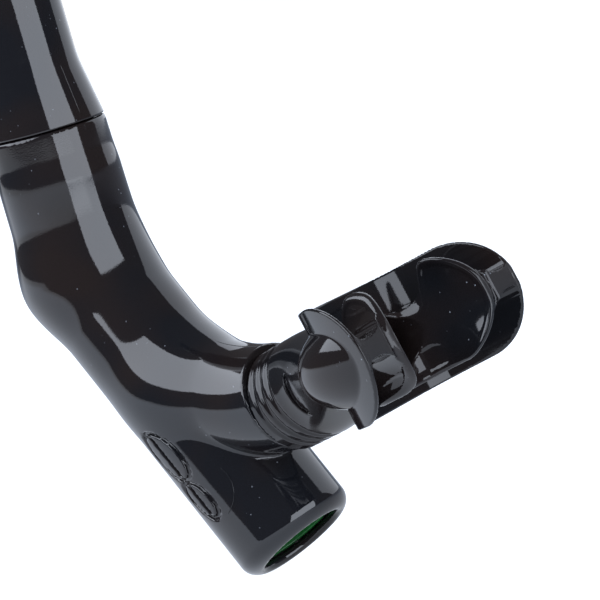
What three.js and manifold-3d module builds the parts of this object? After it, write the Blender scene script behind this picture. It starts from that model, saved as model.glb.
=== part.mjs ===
// Snorkel with a flexible lower body, a purge chamber and a swivelling mouthpiece.
// Millimetres, +Z up the straight tube, +X towards the mouth, symmetric about the plane Y = 0.
// The origin lies on the tube's axis, at the height where the keeper holds it to a mask strap.
import * as THREE from 'three';
import { mergeVertices } from 'three/addons/utils/BufferGeometryUtils.js';
import Module from 'manifold-3d';

const wasm = await Module();
wasm.setup();

// ---------- driving dimensions ----------
const GAP = 0.3;                 // clearance between neighbouring pieces
const OVERCUT = 2;               // how far a cutting body runs past the wall it cuts

const SEAM_Z = -100;             // joint between the lower body and the tube
const BODY_R = 15;               // lower body's outside radius at the joint
const TUBE_R = 12.5;             // straight tube's outside radius
const TUBE_BORE_R = 10.6;        // straight tube's bore radius
const TUBE_TOP_Z = 152;          // top end of the straight tube
const CONE_H = 15;               // height of the tube's flared foot
const SPIGOT_R = 12.2;           // tube's spigot inside the lower body
const SPIGOT_L = 18;             // length of that spigot

const ELBOW_STRAIGHT = 13;       // straight length of the elbow below the joint
const NECK_X = 59.4;             // centre of the elbow's mouth end
const NECK_DROP = 71.4;          // how far that centre lies below the joint
const NECK_TILT = THREE.MathUtils.degToRad(18.3);   // the neck's axis rises by this angle
const ELBOW_END_TILT = THREE.MathUtils.degToRad(9); // the elbow's own slope where it meets the neck
const ELBOW_HANDLE_TOP = 45;     // Bezier handle lengths of the elbow's centre line
const ELBOW_HANDLE_END = 30;
const ELBOW_END_R = 12.8;         // elbow's outside radius at the neck
const ELBOW_WALL = 2.6;          // elbow's wall thickness
const ELBOW_BORE_R = 14;         // the bore's radius narrows from this to the neck spigot's
const NECK_SPIGOT_R = 9.4;       // spigot that carries the mouthpiece
const NECK_SPIGOT_BORE_R = 7.9;
const NECK_SPIGOT_L = 15;
const NECK_ROOT = 6;             // how far the spigot starts inside the elbow

const BARREL_VERTEX_DROP = 37.4; // where the barrel's axis leaves the tube's axis
const BARREL_TILT = THREE.MathUtils.degToRad(35.3); // angle from straight down, towards the mouth
const BARREL_L = 87.1;           // from that point to the outlet's rim
const BARREL_TOP_R = 15.9;
const BARREL_END_R = 15.8;
const LIP_ROUND = 4;             // rounding of the outlet's outer edge
const OUTLET_R = 10.8;           // outlet opening
const LIP_DEPTH = 2.6;           // depth of the outlet's retaining lip
const SEAT_BORE_R = 12.2;        // bore that takes the valve housing
const SEAT_BORE_L = 24;
const BARREL_BORE_R = 11.6;      // bore above the housing
const BARREL_BORE_TAPER = 6;     // length of the bore's pointed upper end

const HOUSING_R = 11.9;          // purge valve housing
const HOUSING_BORE_R = 10.5;
const HOUSING_L = 22;
const HOUSING_OVERLAP = 0.6;     // spokes and ledge run this far into the walls that carry them
const SPOKE_COUNT = 4;
const SPOKE_W = 2;
const SPOKE_T = 2;
const HUB_R = 4;
const HUB_BORE_R = 1.9;
const SEAT_LEDGE_R = 9.2;        // inner radius of the ledge the flap rests on
const FLAP_R = 10;
const FLAP_T = 1;
const STEM_R = 1.6;
const STEM_KNOB_R = 2.5;
const STEM_KNOB_H = 2.2;
const FLAP_RIM_T = 0.6;          // the flap is thinner at its rim
const FLAP_CROWN = 0.8;          // its middle stands proud of its thickness
const FLAP_CROWN_R = 3;
const VALVE_LIFT = 1.5;

const SLEEVE_R = 11.9;           // mouthpiece sleeve
const SLEEVE_BORE_R = 9.7;
const RIB_R = 12.8;
const RIB_PITCH = 3;
const RIB_COUNT = 3;
const RIB_FLANK = 0.5;           // length of a rib's sloping flank
const SLEEVE_PLAIN_L = 4;        // plain length between the last rib and the flare
const FRONT_WALL_A = 30.6;       // shield's front wall, measured along the neck from the elbow's end
const SHIELD_HALF_W = 26.7;
const SHIELD_HALF_H = 14;
const SHIELD_WRAP = 26.1;        // how far the shield's ends reach past its front wall
const SHIELD_POWER = 4.3;        // the arch has a flat front and steep sides
const SHIELD_END_ROUND = 13.5;   // length of the shield's oval ends
const SHIELD_T = 1.4;
const LOBE_HALF_H = 12.2;        // inner walls behind the teeth
const LOBE_T = 1.6;
const LOBE_FRONT_A = 32.6;       // the inner walls follow a tighter arch
const LOBE_HALF_W = 16.8;
const LOBE_WRAP = 23.8;
const LOBE_POWER = 5;
const LOBE_START_Y = 11.5;       // the inner walls leave the air hole free
const WEB_START_Y = 12;
const LOBE_END_ROUND = 13;
const WEB_HALF_T = 2.4;          // bite webs
const WEB_SETBACK = 0.4;         // they end a little inside the shield's rim
const FLARE_END_A = 37;          // the sleeve's oval flare ends inside the cheeks
const FLARE_HALF_W = 21;
const FLARE_HALF_H = 9.4;
const AIR_HALF_W = 11;           // air hole in the front wall
const AIR_HALF_H = 7.4;
const AIR_N = -0.9;              // its centre lies a little below the neck's axis
const CHEEK_A = 39.5;             // rounded cheeks on the shield's outside
const CHEEK_Y = 15.5;
const CHEEK_RADII = [16.5, 10.8, 9];

const COLLAR_R = 15.3;           // keeper collar on the tube
const COLLAR_HALF_H = 11;
const BOSS_R = 6;
const BOSS_X = 17.3;
const STUD_R = 2.5;
const STUD_HEAD_R = 4.3;
const STUD_HEAD_X = [19.8, 21.4];
const CLIP_PLATE_X = [17.6, 21.8];   // strap clip: inner plate, outer bar
const CLIP_BAR_X = [27.2, 29.7];
const CLIP_HALF_Y = 9;
const CLIP_HALF_Z = 15.5;
const CLIP_LEG = 2.5;
const CLIP_CORNER = 3;
const BOSS_OVERLAP = 1;          // keeper's boss and stud run this far into each other

const BAND_Z = [108, 126];       // high-visibility band
const BAND_T = 0.6;
const GUARD_BASE_Z = [134, 156]; // splash guard
const GUARD_R = 17.5;
const GUARD_CAP_TOP_Z = 188;
const GUARD_WALL = 1.8;
const GUARD_DOME_H = 9;
const GUARD_SLEEVE_T = 1.6;      // the base is a sleeve that widens into a cup
const GUARD_CUP_Z = [148, 152];  // the cup's flare
const GUARD_LEDGE_R = 14.7;      // inner radius of the cup's rim
const GUARD_FLOOR_T = 2;         // how far the cup's floor lies below its rim
const WINDOW_COUNT = 4;
const WINDOW_W = 15;
const WINDOW_Z = [161, 174];
const BAFFLE_R = 13.2;
const BAFFLE_T = 1.5;
const BAFFLE_Z = 169;            // lower edge of the baffle's shallow cone
const BAFFLE_RISE = 2;
const STALK_R = 2.2;
const STALK_DEPTH = 2;           // the stalk starts this far above the baffle's edge

const RADIAL = 30;               // facets round the main tubes
const ARCH_STEPS = 30;           // facets along the mouthpiece's arch
const CUTTER = 60;               // size of cutting bodies that reach past the mouthpiece on all sides

// ---------- materials ----------
const finish = (color, roughness) => new THREE.MeshStandardMaterial({ color, roughness, metalness: 0 });
const glossBlackPvc = finish('#0b0c0e', 0.18);
const glossBlackSilicone = finish('#101113', 0.22);
const greenHousing = finish('#1f7a34', 0.3);
const clearSilicone = finish('#8f9a93', 0.35);
const satinBlackPlastic = finish('#141518', 0.4);
const brightBand = finish('#3fbf4a', 0.5);

// ---------- helpers ----------
function toSolid(geometry, matrix = new THREE.Matrix4()) {
  const bare = geometry.index ? geometry.toNonIndexed() : geometry.clone();
  for (const name of ['normal', 'uv', 'uv1', 'color']) bare.deleteAttribute(name);
  bare.applyMatrix4(matrix);
  const merged = mergeVertices(bare, 1e-5);
  const index = merged.index.array;
  const kept = [];
  for (let i = 0; i < index.length; i += 3) {
    const [a, b, c] = [index[i], index[i + 1], index[i + 2]];
    if (a !== b && b !== c && c !== a) kept.push(a, b, c);
  }
  const build = (triangles) => new wasm.Manifold(new wasm.Mesh({
    numProp: 3,
    vertProperties: new Float32Array(merged.attributes.position.array),
    triVerts: new Uint32Array(triangles),
  }));
  const solid = build(kept);
  return solid.volume() > 0 ? solid : build(kept.reverse());   // faces of a mirrored shape point out again
}

const joined = (solids) => solids.reduce((all, solid) => all.add(solid));

function toMesh(name, solid, material) {
  const data = solid.getMesh();
  const geometry = new THREE.BufferGeometry();
  geometry.setAttribute('position', new THREE.BufferAttribute(new Float32Array(data.vertProperties), 3));
  geometry.setIndex(new THREE.BufferAttribute(new Uint32Array(data.triVerts), 1));
  geometry.computeVertexNormals();
  const mesh = new THREE.Mesh(geometry, material);
  mesh.name = name;
  return mesh;
}

// a profile of [radius, height] pairs, turned about +Z; it starts and ends on the axis or closes on itself
function turned(profile, segments = RADIAL) {
  const points = profile.map(([r, z]) => new THREE.Vector2(r, z));
  const lathe = new THREE.LatheGeometry(points, segments);
  return toSolid(lathe, new THREE.Matrix4().makeRotationX(Math.PI / 2));
}

function ring(innerR, outerR, z0, z1, segments = RADIAL) {
  return turned([[innerR, z0], [outerR, z0], [outerR, z1], [innerR, z1], [innerR, z0]], segments);
}

function rod(r, z0, z1, segments = RADIAL) {
  return turned([[0, z0], [r, z0], [r, z1], [0, z1]], segments);
}

function block(x, y, z) {
  const size = [x, y, z].map(([low, high]) => high - low);
  const centre = [x, y, z].map(([low, high]) => (low + high) / 2);
  return toSolid(new THREE.BoxGeometry(...size), new THREE.Matrix4().makeTranslation(...centre));
}

// a round bar of changing radius along a curve that lies in the plane Y = 0
function bentBar(curve, radiusAt, steps, segments = RADIAL) {
  const bar = new THREE.CylinderGeometry(1, 1, 1, segments, steps);
  const position = bar.attributes.position;
  for (let i = 0; i < position.count; i += 1) {
    const t = position.getY(i) + 0.5;
    const centre = curve.getPointAt(t);
    const tangent = curve.getTangentAt(t);
    const side = new THREE.Vector3(0, 1, 0);
    const up = new THREE.Vector3().crossVectors(tangent, side);
    const r = radiusAt(t);
    const point = centre.addScaledVector(side, position.getX(i) * r).addScaledVector(up, -position.getZ(i) * r);
    position.setXYZ(i, point.x, point.y, point.z);
  }
  return toSolid(bar);
}

// an outline of [u, v] pairs in the plane of the first two axes, drawn out along the third
function drawn(outline, depth, basis) {
  const shape = new THREE.Shape(outline.map(([u, v]) => new THREE.Vector2(u, v)));
  const prism = new THREE.ExtrudeGeometry(shape, { depth, bevelEnabled: false });
  return toSolid(prism, basis);
}

// frames: turned and drawn bodies are made along +Z and then placed
const alongX = new THREE.Matrix4().makeBasis(
  new THREE.Vector3(0, 0, -1), new THREE.Vector3(0, 1, 0), new THREE.Vector3(1, 0, 0));
const placed = (solid, matrix) => solid.transform(matrix.elements);

const barrelFrame = new THREE.Matrix4()
  .makeTranslation(0, 0, SEAM_Z - BARREL_VERTEX_DROP)
  .multiply(new THREE.Matrix4().makeRotationY(Math.PI - BARREL_TILT));
const neckFrame = new THREE.Matrix4()
  .makeTranslation(NECK_X, 0, SEAM_Z - NECK_DROP)
  .multiply(new THREE.Matrix4().makeRotationY(-NECK_TILT));

// ---------- lower body: elbow, purge barrel and mouthpiece spigot in one moulding ----------
function elbowCurve() {
  const bendTop = new THREE.Vector3(0, 0, SEAM_Z - ELBOW_STRAIGHT);
  const end = new THREE.Vector3(NECK_X, 0, SEAM_Z - NECK_DROP);
  const back = new THREE.Vector3(-Math.cos(ELBOW_END_TILT), 0, -Math.sin(ELBOW_END_TILT));
  const path = new THREE.CurvePath();
  path.add(new THREE.LineCurve3(new THREE.Vector3(0, 0, SEAM_Z), bendTop));
  path.add(new THREE.CubicBezierCurve3(
    bendTop,
    bendTop.clone().add(new THREE.Vector3(0, 0, -ELBOW_HANDLE_TOP)),
    end.clone().addScaledVector(back, ELBOW_HANDLE_END),
    end));
  return path;
}

function lowerBody() {
  const curve = elbowCurve();
  const outerR = (t) => THREE.MathUtils.lerp(BODY_R, ELBOW_END_R, t ** 1.5);
  const boreR = (t) => Math.min(outerR(t) - ELBOW_WALL, THREE.MathUtils.lerp(ELBOW_BORE_R, NECK_SPIGOT_BORE_R, t));
  const elbow = bentBar(curve, outerR, 18);
  const elbowBore = bentBar(curve, boreR, 14, 20);

  const crown = [];                                   // rounded upper end of the barrel
  const crownSteps = 5;
  for (let i = 0; i <= crownSteps; i += 1) {
    const turn = (i / crownSteps) * (Math.PI / 2);
    crown.push([BARREL_TOP_R * Math.sin(turn), -BARREL_TOP_R * Math.cos(turn)]);
  }
  crown[0][0] = 0;
  const lip = [];                                     // rounded outer edge of the outlet
  const lipSteps = 4;
  for (let i = 0; i <= lipSteps; i += 1) {
    const turn = (i / lipSteps) * (Math.PI / 2);
    lip.push([BARREL_END_R - LIP_ROUND * (1 - Math.cos(turn)), BARREL_L - LIP_ROUND * (1 - Math.sin(turn))]);
  }
  const barrel = placed(turned([...crown, ...lip, [0, BARREL_L]]), barrelFrame);
  const seatTop = BARREL_L - LIP_DEPTH - SEAT_BORE_L;
  const barrelBore = placed(turned([
    [0, 0], [BARREL_BORE_R, BARREL_BORE_TAPER], [BARREL_BORE_R, seatTop], [SEAT_BORE_R, seatTop],
    [SEAT_BORE_R, BARREL_L - LIP_DEPTH], [OUTLET_R, BARREL_L - LIP_DEPTH],
    [OUTLET_R, BARREL_L + OVERCUT], [0, BARREL_L + OVERCUT]]), barrelFrame);

  const neckSpigot = placed(placed(rod(NECK_SPIGOT_R, -NECK_ROOT, NECK_SPIGOT_L), alongX), neckFrame);
  const neckBore = placed(placed(rod(NECK_SPIGOT_BORE_R, -NECK_ROOT - OVERCUT, NECK_SPIGOT_L + OVERCUT), alongX), neckFrame);
  const neckFace = placed(block([0, CUTTER / 2], [-CUTTER / 2, CUTTER / 2], [-CUTTER / 2, CUTTER / 2]), neckFrame);   // square end for the sleeve
  const socket = rod(SPIGOT_R + GAP, SEAM_Z - SPIGOT_L - GAP, SEAM_Z + OVERCUT);

  const back = rod(BODY_R, SEAM_Z - BARREL_VERTEX_DROP, SEAM_Z);               // straight run from the joint into the barrel
  const outside = joined([elbow, back, barrel]).subtract(neckFace).add(neckSpigot);
  return outside.subtract(joined([elbowBore, barrelBore, neckBore, socket]));
}

// ---------- purge valve ----------
function purgeHousing() {
  const bottom = BARREL_L - LIP_DEPTH - GAP;
  const top = bottom - HOUSING_L;
  const wall = ring(HOUSING_BORE_R, HOUSING_R, top, bottom);
  const ledge = ring(SEAT_LEDGE_R, HOUSING_BORE_R + HOUSING_OVERLAP, top, top + SPOKE_T);
  const hub = rod(HUB_R, top, top + SPOKE_T, 18);
  const spokes = [];
  for (let i = 0; i < SPOKE_COUNT / 2; i += 1) {
    const turn = new THREE.Matrix4().makeRotationZ((i * 2 * Math.PI) / SPOKE_COUNT);
    const reach = SEAT_LEDGE_R + HOUSING_OVERLAP;
    spokes.push(placed(block([-reach, reach], [-SPOKE_W / 2, SPOKE_W / 2], [top, top + SPOKE_T]), turn));
  }
  const stemHole = rod(HUB_BORE_R, top - OVERCUT, top + SPOKE_T + OVERCUT, 18);
  return placed(joined([wall, ledge, hub, ...spokes]).subtract(stemHole), barrelFrame);
}

function purgeValve() {
  const seat = BARREL_L - LIP_DEPTH - GAP - HOUSING_L + SPOKE_T;   // outlet side of the spokes
  const knob = seat - SPOKE_T - GAP - VALVE_LIFT;
  return placed(turned([
    [0, knob - STEM_KNOB_H], [STEM_R, knob - STEM_KNOB_H + FLAP_RIM_T], [STEM_KNOB_R, knob], [STEM_R, knob],
    [STEM_R, seat + GAP], [FLAP_R, seat + GAP], [FLAP_R, seat + GAP + FLAP_RIM_T],
    [FLAP_CROWN_R, seat + GAP + FLAP_T + FLAP_RIM_T], [0, seat + GAP + FLAP_T + FLAP_CROWN]], 28), barrelFrame);
}

// ---------- mouthpiece, built along +X from the elbow's end, +Z across the bite ----------
// an arch in plan: depth = front + wrap * (|y| / halfWidth) ^ power
const shieldArch = { front: FRONT_WALL_A, wrap: SHIELD_WRAP, halfWidth: SHIELD_HALF_W, power: SHIELD_POWER };
const lobeArch = { front: LOBE_FRONT_A, wrap: LOBE_WRAP, halfWidth: LOBE_HALF_W, power: LOBE_POWER };

// points of an arch moved towards the inside of the mouth by an offset, over part of its width
function archLine({ front, wrap, halfWidth, power }, offset, fromY, toY, steps) {
  const line = [];
  for (let i = 0; i <= steps; i += 1) {
    const y = THREE.MathUtils.lerp(fromY, toY, i / steps);
    const ratio = Math.abs(y) / halfWidth;
    const slope = (Math.sign(y) * wrap * power * ratio ** (power - 1)) / halfWidth;
    const length = Math.hypot(1, slope);
    line.push([front + wrap * ratio ** power + offset / length, y - (offset * slope) / length]);
  }
  return line;
}

const upright = (low) => new THREE.Matrix4().makeTranslation(0, 0, low);
const sideways = (y) => new THREE.Matrix4().makeBasis(
  new THREE.Vector3(1, 0, 0), new THREE.Vector3(0, 0, 1), new THREE.Vector3(0, -1, 0)).setPosition(0, y, 0);

function between(lineA, lineB, halfHeight) {
  return drawn([...lineA, ...lineB.slice().reverse()], 2 * halfHeight, upright(-halfHeight));
}

// side view of a wall: square at the back, rounded at the end that reaches into the mouth
function sideMask(back, tip, halfHeight, round) {
  const outline = [[back, -halfHeight]];
  const steps = 10;
  for (let i = 0; i <= steps; i += 1) {
    const turn = -Math.PI / 2 + (Math.PI * i) / steps;
    outline.push([tip - round + round * Math.cos(turn), halfHeight * Math.sin(turn)]);
  }
  outline.push([back, halfHeight]);
  return drawn(outline, CUTTER, sideways(CUTTER / 2));
}

function mouthpiece() {
  const tip = FRONT_WALL_A + SHIELD_WRAP;
  const outerFace = archLine(shieldArch, 0, -SHIELD_HALF_W, SHIELD_HALF_W, ARCH_STEPS);
  const innerFace = archLine(shieldArch, SHIELD_T, -SHIELD_HALF_W, SHIELD_HALF_W, ARCH_STEPS);
  const parts = [between(outerFace, innerFace, SHIELD_HALF_H)
    .intersect(sideMask(0, tip, SHIELD_HALF_H, SHIELD_END_ROUND))];
  const midWall = archLine(shieldArch, SHIELD_T / 2, -SHIELD_HALF_W, SHIELD_HALF_W, ARCH_STEPS);
  const behindShield = drawn([...midWall, [CUTTER, CUTTER / 2], [CUTTER, -CUTTER / 2]], CUTTER, upright(-CUTTER / 2));
  for (const side of [-1, 1]) {
    const span = [LOBE_START_Y, LOBE_HALF_W].map((y) => side * y);
    const lobe = between(archLine(lobeArch, 0, ...span, 10), archLine(lobeArch, LOBE_T, ...span, 10), LOBE_HALF_H)
      .intersect(sideMask(0, tip, LOBE_HALF_H, LOBE_END_ROUND));
    const web = between(
      archLine(shieldArch, SHIELD_T / 2, side * WEB_START_Y, side * (SHIELD_HALF_W - WEB_SETBACK), 12),
      archLine(lobeArch, LOBE_T / 2, ...span, 12), WEB_HALF_T);
    const cheek = new THREE.SphereGeometry(1, 16, 10).scale(...CHEEK_RADII);
    const cheekBall = toSolid(cheek, new THREE.Matrix4().makeTranslation(CHEEK_A, side * CHEEK_Y, 0))
      .subtract(behindShield)
      .intersect(block([0, tip], [-SHIELD_HALF_W, SHIELD_HALF_W], [-CUTTER / 2, CUTTER / 2]));
    parts.push(lobe, web, cheekBall);
  }

  // round sleeve widening into the oval front wall
  const flareStart = RIB_COUNT * RIB_PITCH + SLEEVE_PLAIN_L;
  const flareBar = new THREE.CylinderGeometry(1, 1, 1, 24, 5);
  const position = flareBar.attributes.position;
  for (let i = 0; i < position.count; i += 1) {
    const t = position.getY(i) + 0.5;
    const ease = t * t * (3 - 2 * t);
    const halfWidth = THREE.MathUtils.lerp(SLEEVE_R, FLARE_HALF_W, ease);
    const halfHeight = THREE.MathUtils.lerp(SLEEVE_R, FLARE_HALF_H, ease);
    position.setXYZ(i, THREE.MathUtils.lerp(flareStart, FLARE_END_A, t),
      position.getX(i) * halfWidth, position.getZ(i) * halfHeight);
  }
  const flare = toSolid(flareBar).subtract(behindShield);

  const profile = [[SLEEVE_BORE_R, GAP]];
  for (let i = 0; i < RIB_COUNT; i += 1) {
    const start = GAP + i * RIB_PITCH;
    const end = start + RIB_PITCH - RIB_FLANK;
    profile.push([SLEEVE_R, start], [RIB_R, start + RIB_FLANK], [RIB_R, end - RIB_FLANK], [SLEEVE_R, end]);
  }
  profile.push([SLEEVE_R, flareStart + 1], [SLEEVE_BORE_R, flareStart + 1], [SLEEVE_BORE_R, GAP]);
  const sleeve = placed(turned(profile), alongX);
  const sleeveBore = placed(rod(SLEEVE_BORE_R, -OVERCUT, NECK_SPIGOT_L + 1), alongX);
  const ductStart = NECK_SPIGOT_L;
  const ductEnd = FRONT_WALL_A + 6;
  const airDuct = new THREE.CylinderGeometry(1, 1, ductEnd - ductStart, 24, 1);
  const ductFrame = new THREE.Matrix4().makeTranslation((ductStart + ductEnd) / 2, 0, AIR_N)
    .multiply(new THREE.Matrix4().makeRotationZ(-Math.PI / 2))
    .multiply(new THREE.Matrix4().makeScale(AIR_HALF_W, 1, AIR_HALF_H));
  const duct = toSolid(airDuct, ductFrame);
  return joined([...parts, flare, sleeve]).subtract(sleeveBore).subtract(duct);
}

// ---------- tube ----------
function tube() {
  return turned([
    [TUBE_BORE_R, SEAM_Z - SPIGOT_L], [SPIGOT_R, SEAM_Z - SPIGOT_L], [SPIGOT_R, SEAM_Z + GAP],
    [BODY_R, SEAM_Z + GAP], [TUBE_R, SEAM_Z + CONE_H], [TUBE_R, TUBE_TOP_Z],
    [TUBE_BORE_R, TUBE_TOP_Z], [TUBE_BORE_R, SEAM_Z - SPIGOT_L]]);
}

// ---------- keeper ----------
function keeperCollar() {
  const collar = ring(TUBE_R + GAP, COLLAR_R, -COLLAR_HALF_H, COLLAR_HALF_H);
  const boss = placed(rod(BOSS_R, TUBE_R, BOSS_X, 24), alongX);
  const stud = placed(rod(STUD_R, BOSS_X - BOSS_OVERLAP, STUD_HEAD_X[1], 18), alongX);
  const head = placed(rod(STUD_HEAD_R, ...STUD_HEAD_X, 24), alongX);
  return joined([collar, boss, stud, head]).subtract(rod(TUBE_R + GAP, -COLLAR_HALF_H - OVERCUT, COLLAR_HALF_H + OVERCUT));
}

function roundedPlate(halfY, halfZ, corner) {
  const outline = [];
  const steps = 4;
  const centres = [[halfY - corner, halfZ - corner], [corner - halfY, halfZ - corner],
    [corner - halfY, corner - halfZ], [halfY - corner, corner - halfZ]];
  centres.forEach(([u, v], quarter) => {
    for (let i = 0; i <= steps; i += 1) {
      const turn = ((quarter + i / steps) * Math.PI) / 2;
      outline.push([u + corner * Math.cos(turn), v + corner * Math.sin(turn)]);
    }
  });
  return outline;
}

function strapClip() {
  const acrossX = new THREE.Matrix4().makeBasis(
    new THREE.Vector3(0, 1, 0), new THREE.Vector3(0, 0, 1), new THREE.Vector3(1, 0, 0)).setPosition(CLIP_PLATE_X[0], 0, 0);
  const outer = drawn(roundedPlate(CLIP_HALF_Y, CLIP_HALF_Z, CLIP_CORNER), CLIP_BAR_X[1] - CLIP_PLATE_X[0], acrossX);
  const strapWay = block(
    [CLIP_PLATE_X[1], CLIP_BAR_X[0]],
    [-CLIP_HALF_Y - OVERCUT, CLIP_HALF_Y + OVERCUT],
    [CLIP_LEG - CLIP_HALF_Z, CLIP_HALF_Z - CLIP_LEG]);
  const studHole = placed(rod(STUD_R + GAP, CLIP_PLATE_X[0] - OVERCUT, CLIP_PLATE_X[1] + OVERCUT, 18), alongX);
  const headRecess = placed(rod(STUD_HEAD_R + GAP, STUD_HEAD_X[0] - GAP, CLIP_PLATE_X[1] + OVERCUT, 24), alongX);
  return outer.subtract(joined([strapWay, studHole, headRecess]));
}

// ---------- upper end ----------
function guardBase() {
  const [low, high] = GUARD_BASE_Z;
  return turned([
    [TUBE_R + GAP, low], [TUBE_R + GUARD_SLEEVE_T, low], [TUBE_R + GAP + GUARD_SLEEVE_T, GUARD_CUP_Z[0]],
    [GUARD_R, GUARD_CUP_Z[1]], [GUARD_R, high], [GUARD_LEDGE_R, high],
    [GUARD_LEDGE_R, high - GUARD_FLOOR_T], [TUBE_BORE_R, high - GUARD_FLOOR_T],
    [TUBE_BORE_R, TUBE_TOP_Z + GAP], [TUBE_R + GAP, TUBE_TOP_Z + GAP], [TUBE_R + GAP, low]]);
}

function guardCap() {
  const low = GUARD_BASE_Z[1] + GAP;
  const dome = [];
  const domeSteps = 5;
    for (let i = 0; i <= domeSteps; i += 1) {
    const turn = (i / domeSteps) * (Math.PI / 2);
    dome.push([GUARD_R * Math.cos(turn), GUARD_CAP_TOP_Z - GUARD_DOME_H * (1 - Math.sin(turn))]);
  }
  const inner = dome.map(([r, z]) => [Math.max(0, r - GUARD_WALL * (r / GUARD_R)), z - GUARD_WALL]).reverse();
  dome[domeSteps][0] = 0;
  inner[0][0] = 0;
  const shell = turned([[GUARD_R - GUARD_WALL, low], [GUARD_R, low], ...dome, ...inner, [GUARD_R - GUARD_WALL, low]]
    .filter((point, i, all) => i === 0 || Math.hypot(point[0] - all[i - 1][0], point[1] - all[i - 1][1]) > 1e-6));
  const windows = [];
  for (let i = 0; i < WINDOW_COUNT; i += 1) {
    const turn = new THREE.Matrix4().makeRotationZ((i * 2 * Math.PI) / WINDOW_COUNT);
    windows.push(placed(block([GUARD_R / 2, GUARD_R + OVERCUT], [-WINDOW_W / 2, WINDOW_W / 2], WINDOW_Z), turn));
  }
  return shell.subtract(joined(windows));
}

function guardBaffle() {
  const crest = BAFFLE_Z + BAFFLE_RISE;
  const stalk = rod(STALK_R, BAFFLE_Z + STALK_DEPTH, GUARD_CAP_TOP_Z - GUARD_WALL - 2 * GAP, 16);
  const plate = turned([
    [0, crest], [BAFFLE_R, BAFFLE_Z], [BAFFLE_R, BAFFLE_Z + BAFFLE_T], [0, crest + BAFFLE_T]]);
  return stalk.add(plate);
}

const snorkel = new THREE.Group();
const mouth = new THREE.Group();
neckFrame.decompose(mouth.position, mouth.quaternion, mouth.scale);
mouth.add(toMesh('mouthpiece', mouthpiece(), glossBlackSilicone));
snorkel.add(
  toMesh('lower_body', lowerBody(), glossBlackPvc),
  mouth,
  toMesh('purge_housing', purgeHousing(), greenHousing),
  toMesh('purge_valve', purgeValve(), clearSilicone),
  toMesh('tube', tube(), glossBlackPvc),
  toMesh('keeper_collar', keeperCollar(), satinBlackPlastic),
  toMesh('strap_clip', strapClip(), satinBlackPlastic),
  toMesh('safety_band', ring(TUBE_R + GAP, TUBE_R + GAP + BAND_T, ...BAND_Z), brightBand),
  toMesh('splash_guard_base', guardBase(), satinBlackPlastic),
  toMesh('splash_guard_cap', guardCap(), satinBlackPlastic),
  toMesh('splash_guard_baffle', guardBaffle(), satinBlackPlastic),
);

export default snorkel;
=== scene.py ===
import math

import bpy
import numpy as np
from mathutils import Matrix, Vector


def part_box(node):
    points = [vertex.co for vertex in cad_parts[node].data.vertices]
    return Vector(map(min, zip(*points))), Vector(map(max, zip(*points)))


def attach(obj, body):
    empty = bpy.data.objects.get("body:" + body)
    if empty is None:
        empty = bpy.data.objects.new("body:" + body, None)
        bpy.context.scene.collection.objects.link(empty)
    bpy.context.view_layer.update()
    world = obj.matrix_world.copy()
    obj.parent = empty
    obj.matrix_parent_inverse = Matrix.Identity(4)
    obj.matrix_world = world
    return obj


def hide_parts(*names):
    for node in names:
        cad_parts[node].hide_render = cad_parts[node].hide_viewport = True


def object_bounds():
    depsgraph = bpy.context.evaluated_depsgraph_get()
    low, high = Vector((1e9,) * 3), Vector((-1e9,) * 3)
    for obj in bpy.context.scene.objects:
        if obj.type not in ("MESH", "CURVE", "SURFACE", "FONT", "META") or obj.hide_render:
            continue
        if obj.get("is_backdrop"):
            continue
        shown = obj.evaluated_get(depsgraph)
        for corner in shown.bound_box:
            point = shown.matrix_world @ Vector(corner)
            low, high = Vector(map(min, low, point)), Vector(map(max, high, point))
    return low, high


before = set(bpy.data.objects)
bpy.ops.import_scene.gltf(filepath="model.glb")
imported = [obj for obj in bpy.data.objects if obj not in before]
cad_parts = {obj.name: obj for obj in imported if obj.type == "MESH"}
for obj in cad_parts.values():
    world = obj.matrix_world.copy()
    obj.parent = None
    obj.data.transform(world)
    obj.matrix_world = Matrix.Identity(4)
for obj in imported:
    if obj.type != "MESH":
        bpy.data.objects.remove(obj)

import openvdb
from bpy.props import FloatProperty, FloatVectorProperty, PointerProperty
from mathutils import Matrix, Vector

bl_info = {
    "name": "Snorkel",
    "version": (1, 0, 0),
    "blender": (4, 5, 0),
    "location": "3D View > Sidebar > Snorkel",
    "description": "Builds a snorkel with a flexible lower body, purge chamber and swivel mouthpiece",
    "category": "Add Mesh",
}

MM = 0.001


def box_mm(node):
    """Lowest and highest corner of a CAD node, in millimetres."""
    low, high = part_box(node)
    return np.array(low) / MM, np.array(high) / MM


# ---------- sizes in millimetres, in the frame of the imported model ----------
SEAM_Z = round(box_mm("lower_body")[1][2])  # joint between the lower body and the tube
GAP = 0.3

ELBOW_STRAIGHT = 13.0
NECK_CENTRE = np.array([59.4, SEAM_Z - 71.4])  # x and z
NECK_TILT = math.radians(18.3)
ELBOW_END_TILT = math.radians(9)
ELBOW_HANDLES = (45.0, 30.0)
BARREL_TOP_Z = SEAM_Z - 37.4
BARREL_TILT = math.radians(35.3)
BARREL_LENGTH = 87.1
BARREL_TOP_R = 15.9
OUTLET_R = 10.8
LIP_DEPTH = 2.6
SEAT_R = 12.2
SEAT_LENGTH = 24.0
BARREL_BORE_R = 11.6
SPIGOT_R = 9.4
SPIGOT_BORE_R = 7.9
SPIGOT_LENGTH = 15.0
SOCKET_R = 12.5
SOCKET_DEPTH = 18.3

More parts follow.
